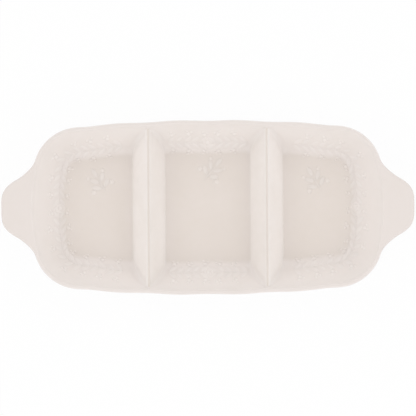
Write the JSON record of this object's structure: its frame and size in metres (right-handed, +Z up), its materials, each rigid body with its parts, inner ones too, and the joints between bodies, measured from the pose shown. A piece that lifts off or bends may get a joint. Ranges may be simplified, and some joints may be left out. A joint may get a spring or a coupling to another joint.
{
  "type": "relish tray",
  "caption": "Long oval-cornered glazed tray with sloping walls, cross partitions that divide it into wells for relishes, and a flat tab handle at each end.",
  "frame": {"origin": "on the table, under the middle of the tray", "axes": "+X along the tray towards the right handle, +Y across the tray, +Z up"},
  "size_m": [0.38, 0.1604, 0.036],
  "materials": {
    "glaze": "glossy warm white glaze over porcelain",
    "bare_clay": "unglazed ground porcelain"
  },
  "bodies": {
    "root": {"left_well": "glaze", "centre_well": "glaze", "right_well": "glaze", "left_partition": "glaze", "right_partition": "glaze", "rim": "glaze", "left_handle": "glaze", "right_handle": "glaze", "left_foot_ring": "bare_clay", "centre_foot_ring": "bare_clay", "right_foot_ring": "bare_clay"}
  },
  "joints": []
}
